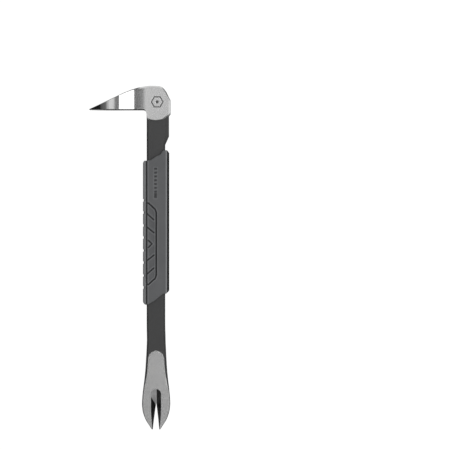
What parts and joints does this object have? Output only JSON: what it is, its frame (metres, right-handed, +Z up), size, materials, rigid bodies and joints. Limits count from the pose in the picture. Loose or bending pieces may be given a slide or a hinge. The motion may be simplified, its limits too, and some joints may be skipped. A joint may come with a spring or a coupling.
{
  "type": "pry bar",
  "caption": "Forged steel nail puller lying on its side: bent claw head with a striking face, painted shank, straight claw and a moulded grip.",
  "frame": {"origin": "under the middle of the bounding box, on the surface that the bar lies on", "axes": "+Y along the shank from the straight claw to the head, +Z up through the side of the bar, +X to the side of the striking face, so the head claw points to -X"},
  "size_m": [0.0662, 0.28, 0.02],
  "materials": {
    "forged_steel": "satin ground at the head and claws, satin black paint on the shank",
    "grip_rubber": "matte moulded",
    "tread_rubber": "matte moulded",
    "pad_rubber": "matte, fine texture",
    "spine_rubber": "matte black"
  },
  "bodies": {
    "root": {"forged_bar": "forged_steel", "grip_body": "grip_rubber", "front_tread": "tread_rubber", "back_spine": "spine_rubber", "side_pad_front": "pad_rubber", "side_pad_back": "pad_rubber"}
  },
  "joints": []
}
